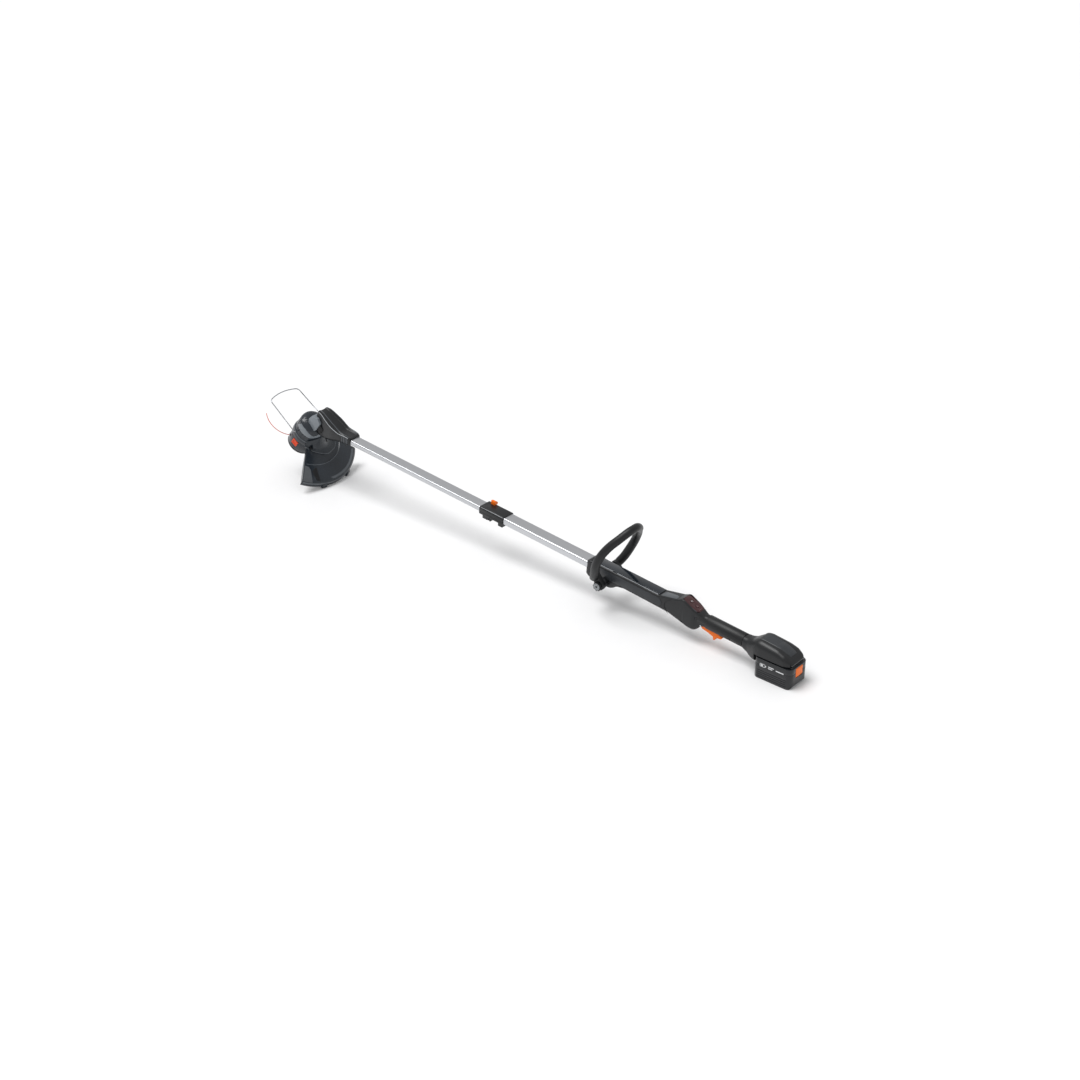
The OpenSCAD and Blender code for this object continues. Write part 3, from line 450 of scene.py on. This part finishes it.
cutAway(handle, brick(onPanel, *keypad["recess"]))
well = keypad["well"]
for x in keypad["keys"]:
    cutAway(handle, disc(onPanel(x, 0, well["from"]), onPanel(x, 0, 1) - onPanel(x, 0, 0), well["radius"],
                         well["depth"]))
well = housing["screwWell"]
for s, n in housing["screws"]:
    cutAway(handle, disc(onShaft(s, well["from"], n), Vector((0, 1, 0)), well["radius"], well["depth"], 32))
roundEdges(handle, 0.4, 2, 50)
settle(handle, "handle_housing", "handle", "shell", finish["shell"], "handle_shell_left", "handle_shell_right")


# An arc in the side view of the shaft, as points (s, n).
def outlineArc(s, n, radius, start, end, steps=10):
    return [(s + radius * math.cos(math.radians(a)), n + radius * math.sin(math.radians(a)))
            for a in (start + (end - start) * k / (steps - 1) for k in range(steps))]


# A raised side panel on each side of the housing.
sidePanel = {
    "points": [(44, 11.5), (44, -12)] + outlineArc(229, -0.5, 11.5, -90, 90), "face": 20.15, "depth": 0.0012,
}
for side in (-1, 1):
    points = [onShaft(s, side * sidePanel["face"], n) for s, n in sidePanel["points"]]
    piece = slab(points, Vector((0, -side * sidePanel["depth"], 0)), 0.4, 2)
    settle(piece, f"long_side_panel_{'near' if side < 0 else 'far'}", "handle", "shell", trim["panel"])
slope = {
    "from": 228, "height": 16.6, "rise": 13.9 / 56, "proud": 0.25, "depth": 0.0014,
    "outline": ((234, -15.5), (234, 4), (240, 7), (272, 3), (282, -3), (282, -15.0)),
}
points = [onShaft(s, y, slope["height"] + (s - slope["from"]) * slope["rise"] + slope["proud"])
          for s, y in slope["outline"]]
piece = slab(points, -outOf * slope["depth"], 0.3, 2)
settle(piece, "top_inlay", "handle", "shell", trim["inlay_and_highlight"])
seam = {
    "face": -19.75, "radius": 0.0005,
    "line": ((268, 22), (258, 16), (252, 8), (250, 0), (252, -8), (258, -16), (263, -20)),
}
arc = [onShaft(s, seam["face"], n) for s, n in seam["line"]]
settle(tube(smoothLine(arc, 5), seam["radius"], 8), "overmould_seam", "handle", "shell", trim["shade"])
# Painted highlight: thin light lines along the near edge of the top cover, where light catches it.
coverEdgeHighlight = {"y": -15.9, "n": 17.15, "runs": ((34, 82), (96, 226))}
for k, (start, end) in enumerate(coverEdgeHighlight["runs"]):
    edge = [onShaft(start + (end - start) * i / 8, coverEdgeHighlight["y"], coverEdgeHighlight["n"]) for i in range(9)]
    settle(tube(edge, 0.0006, 10), f"cover_edge_highlight_{k}", "handle", "gloss_cover", trim["edge"])
# Painted highlight: a thin light line along the keypad's near edge.
keypadEdgeHighlight = [onPanel(-2 + 6 * i, -15.25, 0.3) for i in range(9)]
settle(tube(keypadEdgeHighlight, 0.0004, 8), "keypad_edge_highlight", "handle", "keypad", trim["ridge"])
# Painted highlight: a thin light line along the sleeve's near top edge.
sleeveEdgeHighlight = [onShaft(-366 + 11 * i, -19.95, 10.7) for i in range(8)]
settle(tube(sleeveEdgeHighlight, 0.00045, 8), "sleeve_edge_highlight", "handle", "shell", trim["edge"])
print("rear handle")

# Keypad marks.
prints = {
    "ring": {"x": 15, "radius": 2.0, "z": 1.55 - 0.15, "wire": 0.00032}, "layer": (1.30, 1.50),
    "bar": ((16.0, 18.2), (-0.35, 0.35)),
    "speed": {"from": 31.2, "to": 31.9, "step": 1.6, "halves": (0.8, 1.5, 2.2)},
    "lights": {"x": 44.5, "y": -4, "step": 4, "z": 0.5, "radius": 0.0008, "depth": 0.00025, "count": 3},
}
ring = [onPanel(prints["ring"]["x"] + prints["ring"]["radius"] * math.cos(a),
                prints["ring"]["radius"] * math.sin(a), prints["ring"]["z"])
        for a in (math.radians(40 + 280 * k / 27) for k in range(28))]
settle(tube(ring, prints["ring"]["wire"], 8), "power_mark", "power_button", "keypad", trim["mark"])
bar = brick(onPanel, *prints["bar"], prints["layer"])
settle(bar, "power_mark_bar", "power_button", "keypad", trim["dim"])
for k, half in enumerate(prints["speed"]["halves"]):
    low = prints["speed"]["from"] + k * prints["speed"]["step"]
    high = prints["speed"]["to"] + k * prints["speed"]["step"]
    settle(brick(onPanel, (low, high), (-half, half), prints["layer"]), f"speed_mark_{k}", "mode_button",
           "keypad", trim["dim"])
lights = prints["lights"]
for k in range(lights["count"]):
    settle(disc(onPanel(lights["x"], lights["y"] + k * lights["step"], lights["z"]),
                onPanel(0, 0, 1) - onPanel(0, 0, 0), lights["radius"], lights["depth"], 24),
           f"level_light_{k}", "handle", "keypad", trim["dim"])

# Front loop.
loop = {
    "half": [(-536.4, 94.5, 50.5), (-525.2, 114.4, 62.3), (-509.9, 150.9, 75.5), (-495.4, 182.4, 73),
             (-482.1, 205, 58.5), (-466.8, 223.9, 40), (-456.2, 238, 18), (-453.5, 241, 0)],
    "bar": 11.0, "limb": 11.6, "lean": 28, "earFace": 32.5, "earDepth": 0.0135, "boltHole": 0.00405,
    "ear": ((0, 14, 10, 75, 230), (22, 0, 14, 250, 430)),  # arcs: back, up, radius, start and end angle
}
near = [Vector((x, -y, z)) / 1000 for x, z, y in loop["half"]]
far = [Vector((x, y, z)) / 1000 for x, z, y in reversed(loop["half"][:-1])]
centre = smoothLine(near + far, 8)
radii = [(loop["bar"] + (loop["limb"] - loop["bar"]) * max(0, 1 - abs(p.z - 0.12) / 0.06)) / 1000
         for p in centre]
bow = tube(centre, radii, 48)
lean = math.radians(loop["lean"])
loopUp = Vector((math.sin(lean), 0, math.cos(lean)))
loopBack = Vector((math.cos(lean), 0, -math.sin(lean)))
for side in (-1, 1):
    ear = []
    for centreX, centreZ, radius, start, end in loop["ear"]:
        for k in range(16):
            a = math.radians(start + (end - start) * k / 15)
            ear.append(loopPivot + (loopBack * (centreX - 22 + radius * math.cos(a))
                                    + loopUp * (centreZ + radius * math.sin(a))
                                    + Vector((0, side * loop["earFace"], 0))) / 1000)
    cutAway(bow, slab(ear, Vector((0, side * loop["earDepth"], 0)), 2.5, 4), "UNION")
cutAway(bow, disc(loopPivot - Vector((0, 0.08, 0)), Vector((0, 1, 0)), loop["boltHole"], 0.16))
settle(bow, "front_loop_bar", "front_loop", "soft_grip", finish["soft_grip"], "loop_handle", smooth=40)
print("front loop")

# Battery bay.
bay = {
    "top": [(-101, 77), (-87, 77.5), (-75, 80.5), (-61, 90), (-50, 95.5), (-39, 96), (7, 90), (29, 82),
            (43, 73), (51, 64), (54, 59)],
    "low": [(-101, 44), (-91, 39.5), (-78, 35.5), (-66, 33.5), (-55.2, 36), (-55.1, 56.2), (54, 56.2)],
    "half": [(-101, 18.3), (-87, 20), (-71, 27), (-57, 33.6), (-43, 35.6), (28, 35.6), (43, 31),
             (52, 23), (54, 19)],
    "packSpace": ((-53, 60), (-28.5, 28.5), (50, 66)), "terminalSpace": ((-51, -29), (-22.5, 22.5), (65, 85)),
}
rings = []
places = [-101, -99, -96] + list(range(-93, -57, 3)) + [-56.5, -55.3, -55.05]
places += list(range(-53, 49, 3)) + [50, 51.5, 53, 54]
for x in places:
    half = softly(bay["half"], x, 2)
    top = softly(bay["top"], x, 2.5)
    low = between(bay["low"], x)
    radius = max(min(half * 0.8, (top - low) * 0.62), 1.5)
    ring = roundedRing(half, low, top, (4 if x > -55.1 else 13), radius, 9)
    rings.append([Vector((x, y, z)) / 1000 for y, z in ring])
cap = loft(rings)


def onBase(x, y, z):
    return Vector((x, y, z)) / 1000


cutAway(cap, brick(onBase, *bay["packSpace"]))
crest = {"from": -48, "to": 36, "half": 17, "proud": 0.9, "steps": 28}
rings = []
for k in range(crest["steps"] + 1):
    x = crest["from"] + (crest["to"] - crest["from"]) * k / crest["steps"]
    top = softly(bay["top"], x, 2.5)
    half = crest["half"] * (1 - 0.25 * (k / crest["steps"]) ** 2)
    drop = max(0.0, half - 15) * 0.12
    cross = [(-half, -2.5 - drop), (-half, crest["proud"] - 0.9 - drop),
             (-half + 1.5, crest["proud"] - drop * 0.5), (half - 1.5, crest["proud"] - drop * 0.5),
             (half, crest["proud"] - 0.9 - drop), (half, -2.5 - drop)]
    rings.append([Vector((x, y, top + z)) / 1000 for y, z in cross])
settle(loft(rings), "bay_crest", "handle", "shell", trim["panel"])
cutAway(cap, brick(onBase, *bay["terminalSpace"]))
roundEdges(cap, 0.8, 3, 40)
settle(cap, "battery_bay_cover", "handle", "shell", finish["shell"], "battery_bay")
print("battery bay")

# A ring with its corners cut, once for each round.
def cornersCut(ring, rounds):
    for _ in range(rounds):
        ring = [point for a, b in zip(ring, ring[1:] + ring[:1])
                for point in (a.lerp(b, 0.22), a.lerp(b, 0.78))]
    return ring


# Gear cover over the motor.
cover = {
    "ridge": [(-1006, 24), (-1000, 33), (-996, 45), (-991, 52.5), (-976, 53), (-963, 48.5), (-945, 40.5),
              (-926, 31.5), (-905, 20.2), (-880, 15.8), (-862, 12.8)],
    "drop": [(-1006, 4), (-991, 5), (-976, 8), (-963, 11), (-945, 13), (-926, 11), (-905, 6), (-880, 1.6),
             (-862, 0.8)],
    "scoop": [(-1006, 0.4), (-991, 1.5), (-976, 5.0), (-945, 7.5), (-905, 6.0), (-880, 2.2), (-862, 0.6)],
    "low": [(-1006, -29), (-960, -27.5), (-935, -21), (-905, -13), (-880, -11.5), (-862, -10.4)],
    "half": [(-1012, 12), (-1000, 16), (-963, 22), (-932, 25.5), (-900, 24.6), (-862, 20.8)],
    "ribs": (-889, -883, -877, -871),
}
barrelSpace = {"base": 41.4, "radius": 0.0419, "depth": 0.0575}


def barrelCutter():
    return disc(onHead(0, 0, barrelSpace["base"]), spoolUp, barrelSpace["radius"], barrelSpace["depth"], 96)


rings = []
for s in list(range(-1006, -862, 4)) + [-863.5, -862.3, -862]:
    shrink = {-863.5: 0.4, -862.3: 1.2, -862: 2.0}.get(s, 0)
    half = softly(cover["half"], s, 4) - shrink
    ridge = softly(cover["ridge"], s, 3) - shrink
    crease = ridge - softly(cover["drop"], s, 4)
    floorN = ridge - softly(cover["scoop"], s, 4)
    low = softly(cover["low"], s, 4) + shrink
    profile = [(0.35, low), (0.82, low), (1.0, low + 7), (1.0, crease), (0.80, ridge - 0.3), (0.66, ridge),
               (0.50, floorN), (0.15, floorN - 0.3)]
    ring = [onShaft(s, half * y, n) for y, n in profile]
    ring += [onShaft(s, -half * y, n) for y, n in reversed(profile)]
    rings.append(cornersCut(ring, 2))
hood = loft(rings)
cutAway(hood, barrelCutter())
cutAway(hood, disc(onHead(0, 0, 98.8), spoolUp, 0.036, 0.014, 96))
cutAway(hood, disc(onHead(0, 0, -8), spoolUp, 0.0446, 0.0600, 96))
settle(hood, "gear_cover", "lower_shaft", "shell", finish["shell"], "head_cover", "neck_shell", smooth=24)
# Painted highlights: thin light lines along each side crease and each ridge of the cover, where light catches
# them.
for side in (-1, 1):
    crease, ridgeHighlight = [], []
    for s in range(-988, -862, 6):
        half, ridge = softly(cover["half"], s, 4), softly(cover["ridge"], s, 3)
        drop = softly(cover["drop"], s, 4)
        crease.append(onShaft(s, side * half * 0.975, ridge - drop + 0.2))
        ridgeHighlight.append(onShaft(s, side * half * 0.74, ridge - 0.35))
    name = "near" if side < 0 else "far"
    settle(tube(crease, 0.0008, 10), f"cover_crease_highlight_{name}", "lower_shaft", "shell", trim["edge"])
    settle(tube(ridgeHighlight, 0.0009, 10), f"cover_ridge_highlight_{name}", "lower_shaft", "shell", trim["ridge"])
flange = {
    "edge": [(-50, 52), (-25, 62), (-4, 72), (10, 83), (39, 90), (50, 86)],
    "start": [(-50, 60), (-30, 74), (-12, 84), (20, 86), (38, 72), (50, 60)],
    "from": -48, "sweep": 97, "steps": 44, "bosses": (-30, 34), "bossRadius": 0.0066,
}
rings, rim = [], []
for k in range(flange["steps"] + 1):
    angle = flange["from"] + flange["sweep"] * k / flange["steps"]
    outer = softly(flange["edge"], angle, 5)
    seat = 49 + (outer - 46) * (38 - 49) / 54
    start = softly(flange["start"], angle, 6)
    fall = start - seat
    profile = [(43, start), (45.5, start - 4), (47 + (outer - 47) * 0.16, seat + fall * 0.52),
               (47 + (outer - 47) * 0.4, seat + fall * 0.27),
               (47 + (outer - 47) * 0.72, seat + fall * 0.11 + 1), (outer, seat + 2.2),
               (outer + 1.2, seat + 0.6), (outer, seat - 2), (48, 46), (45, 50)]
    rings.append([aroundHead(r, angle, w) for r, w in profile])
    rim.append(aroundHead(outer, angle, seat + 1.9))
saddle = loft(rings)
for boss in flange["bosses"]:
    cutAway(saddle, disc(aroundHead(56, boss, 48.5), spoolUp, flange["bossRadius"], 0.05, 32))
settle(saddle, "guard_saddle", "lower_shaft", "guard_plastic", finish["guard_plastic"])
# Painted highlight: a light bead along the saddle's rim.
settle(tube(rim, 0.0010, 10), "saddle_rim_highlight", "lower_shaft", "guard_plastic", trim["ridge"])

# The hood's ribs near the shaft, its side vent and the faceted block in front of it. The ribs are lighter grey as
# a painted highlight, the block is light blue grey as a painted highlight on its lit facet, and the vent is a
# black sheet of painted shade in its recess.
for k, s in enumerate(cover["ribs"]):
    half = between(cover["half"], s)
    for side in (-1, 1):
        settle(brick(onShaft, (s - 1.1, s + 1.1), (side * (half - 1.5), side * (half + 0.5)), (-5, 11)),
               f"cover_rib_{k}_{'near' if side < 0 else 'far'}", "lower_shaft", "shell", trim["ridge"])
facet = {
    "outline": [(-1021, 17), (-1008, 31), (-986, 29), (-976, 15), (-993, -10), (-1004, -18), (-1024, 0)],
    "half": 26, "vent": [(-979, 12), (-966, 0), (-980, -17), (-994, -9)], "ventFace": -20.5,
    "ventDepth": 0.0026,
}
points = [onShaft(s, -facet["half"], n) for s, n in facet["outline"]]
block = slab(points, Vector((0, 2 * facet["half"] / 1000, 0)), 0.9, 3)
cutAway(block, barrelCutter())
settle(block, "motor_block", "lower_shaft", "guard_plastic", trim["facet_highlight"])
points = [onShaft(s, facet["ventFace"], n) for s, n in facet["vent"]]
vent = slab(points, Vector((0, -facet["ventDepth"], 0)), 0.6, 2)
cutAway(vent, barrelCutter())
settle(vent, "side_vent_shade", "lower_shaft", "shell", trim["shade"])


# Strips that follow a surface of revolution round the spool axis, used for the painted highlight and shade bands
# on the motor and the guard.
def wrapped(edgeA, edgeB, surface, low, high, steps=24):
    def at(edge, t):
        place = t * (len(edge) - 1)
        i = min(int(place), len(edge) - 2)
        (a0, b0), (a1, b1) = edge[i], edge[i + 1]
        return a0 + (a1 - a0) * (place - i), b0 + (b1 - b0) * (place - i)

    rings = []
    for k in range(steps + 1):
        (a0, b0), (a1, b1) = at(edgeA, k / steps), at(edgeB, k / steps)
        cross = [(a0 + (a1 - a0) * m / 6, b0 + (b1 - b0) * m / 6) for m in range(7)]
        outer = [surface(a, b, high) for a, b in cross]
        rings.append(outer + [surface(a, b, low) for a, b in reversed(cross)])
    return loft(rings)


barrelLine = [(41.5, 44.5), (51.5, 44.5), (57.5, 43.5), (62.5, 42), (91.5, 42), (99.5, 40), (106.5, 34),
              (111.5, 24)]


def onBarrel(angle, w, proud):
    return aroundHead(softly(barrelLine, w, 1.5) + proud, angle, w)


# Ledges on the motor barrel; their light grey is a painted highlight where the ledges and the lower collar catch
# the light.
straps = {
    "left": ([(-122, 80), (-90, 79), (-45, 79)], [(-112, 97), (-82, 99), (-39, 91)]),
    "right": ([(-44, 80), (-30, 86), (-12, 95)], [(-40, 91), (-28, 97), (-18, 103)]),
    "collar_low": ([(-150, 55.5), (-60, 55.5), (40, 55.5)], [(-150, 58.5), (-60, 58.5), (40, 58.5)]),
}
for name, (lowEdge, highEdge) in straps.items():
    piece = wrapped(lowEdge, highEdge, onBarrel, -0.6, 1.3)
    roundEdges(piece, 0.4, 2, 40)
    look = trim["ridge"] if name.startswith("collar") else trim["facet_highlight"]
    settle(piece, f"motor_strap_highlight_{name}", "lower_shaft", "guard_plastic", look)
print("cutting head")

# Cutting guard.
guard = {
    "top": [(46, 49), (50, 47.6), (58, 45.5), (80, 41.2), (101, 37.6), (102.5, 39.2), (106, 38.6),
            (126, 35.4), (140, 32.6), (150, 29.8), (155.5, 27), (158.5, 23.5), (160, 17), (160, 11.5)],
    "under": [(157, 11.5), (155.5, 22), (151, 25.8), (140, 28.8), (100, 34.6), (58, 42), (46, 45)],
    "near": -41, "far": 52, "steps": 66, "bosses": (-30, 34),
    "feet": (-14, 21), "footHalf": 0.008,
    "foot": [(150, 26), (158, 24.5), (162, 21), (165, 15), (165, 2), (157, 2), (154, 14)],
    "end": [(52, 41), (52, 46.4), (100, 37.8), (140, 32.4), (154, 27.4), (159, 20), (159, 17), (140, 17),
            (100, 26)],
    "endHalf": 0.0016,
}
rings = []
for k in range(guard["steps"] + 1):
    angle = guard["near"] + (guard["far"] - guard["near"]) * k / guard["steps"]
    rings.append([aroundHead(r, angle, w) for r, w in guard["top"] + guard["under"]])
fan = loft(rings)


# A solid of the given outline across the guard at an angle.
def acrossGuard(outline, angle, half, *rounding):
    turn = math.radians(angle)
    across = Vector((0, math.cos(turn), 0)) - spoolBack * math.sin(turn)
    return slab([aroundHead(r, angle, w) - across * half for r, w in outline], across * (2 * half), *rounding)


for foot in guard["feet"]:
    cutAway(fan, acrossGuard(guard["foot"], foot, guard["footHalf"], 1.6, 3), "UNION")
for end in (guard["near"] + 0.6, guard["far"] - 0.6):
    cutAway(fan, acrossGuard(guard["end"], end, guard["endHalf"]), "UNION")
for boss in guard["bosses"]:
    cutAway(fan, disc(aroundHead(56, boss, 40), spoolUp, 0.006, 0.010), "UNION")
    cutAway(fan, disc(aroundHead(56, boss, 30), spoolUp, 0.0023, 0.03, 24))
cutAway(fan, brick(onBase, (-1720, -1300), (-220, 220), (-60, 0.0)))  # nothing below the floor
roundEdges(fan, 0.5, 2, 40)
settle(fan, "guard_shell", "lower_shaft", "guard_plastic", finish["guard_plastic"], "cutting_guard")


def onGuard(angle, radius, proud):
    return aroundHead(radius, angle, between(guard["top"], radius) + proud)


# Bands on the guard, all painted light: the lighter bands are painted highlights on the near-end facet, the outer
# skirt edge, the rim and the step, and the black band is painted shade in the near crease.
bands = {
    "near_panel_highlight": ([(-40.2, 110), (-34.5, 112), (-31.5, 120)],
                   [(-40.2, 155.5), (-35, 156), (-29.5, 156)], "inlay_and_highlight", 0.9),
    "skirt_highlight": ([(-40, 157.2), (0, 157.2), (51, 157.2)], [(-40, 159.2), (0, 159.2), (51, 159.2)], "ridge", 0.5),
    "rim_highlight": ([(-6, 146), (20, 146), (48, 142)], [(-3, 152), (20, 152.5), (50, 149)], "ridge", 0.6),
    "near_crease_shade": ([(-29.5, 124), (-27, 136), (-24, 150)],
                    [(-24, 112), (-22, 113), (-20, 152)], "shade", 0.5),
    "step": ([(-38, 102.6), (0, 102.6), (46, 102.6)], [(-38, 104.6), (0, 104.6), (46, 104.6)], "ridge", 0.5),
}
for name, (edgeA, edgeB, look, proud) in bands.items():
    piece = wrapped(edgeA, edgeB, onGuard, -1.2, proud)
    roundEdges(piece, 0.25, 2, 40)
    settle(piece, f"guard_band_{name}", "lower_shaft", "guard_plastic", trim[look])
print("guard")

# Generic marks on the battery, and the knob's ribbed face.
marks = {
    "layer": (-36.9, -37.15),
    "bars": [((-34, -18), (35.6, 36.8)), ((-34, -18), (43.0, 44.2)), ((-34, -32.6), (35.6, 44.2)),
             ((-19.4, -18), (35.6, 44.2)), ((-17.6, -16), (38.0, 41.8)), ((-31, -25), (37.8, 42.0)),
             ((-10, 6), (41.4, 43.6)), ((-10, 2), (37.0, 39.2)), ((12, 34), (38.6, 41.4))],
}
for k, (xs, zs) in enumerate(marks["bars"]):
    settle(brick(onBase, xs, marks["layer"], zs), f"battery_mark_{k}", "battery_pack", "battery_plastic",
           trim["mark"])
knob = {
    "ribs": 20, "from": 3.4, "to": 10.0, "face": -54.4, "proud": 0.0007, "sink": 0.0004,
    "inner": 0.0004, "outer": 0.0008,
}
# The ribs take the light edge grey, a painted highlight on their tops.
for k in range(knob["ribs"]):
    a = 2 * math.pi * k / knob["ribs"]
    ray = along * math.cos(a) + outOf * math.sin(a)
    tangent = outOf * math.cos(a) - along * math.sin(a)
    start = loopPivot + Vector((0, knob["face"] / 1000 + knob["sink"], 0)) + ray * knob["from"] / 1000
    reach = ray * (knob["to"] - knob["from"]) / 1000
    points = [start - tangent * knob["inner"], start + tangent * knob["inner"],
              start + reach + tangent * knob["outer"], start + reach - tangent * knob["outer"]]
    rib = slab(points, Vector((0, -knob["proud"], 0)))
    settle(rib, f"knob_rib_highlight_{k}", "loop_clamp", "dark_plastic", trim["edge"])
print("marks")
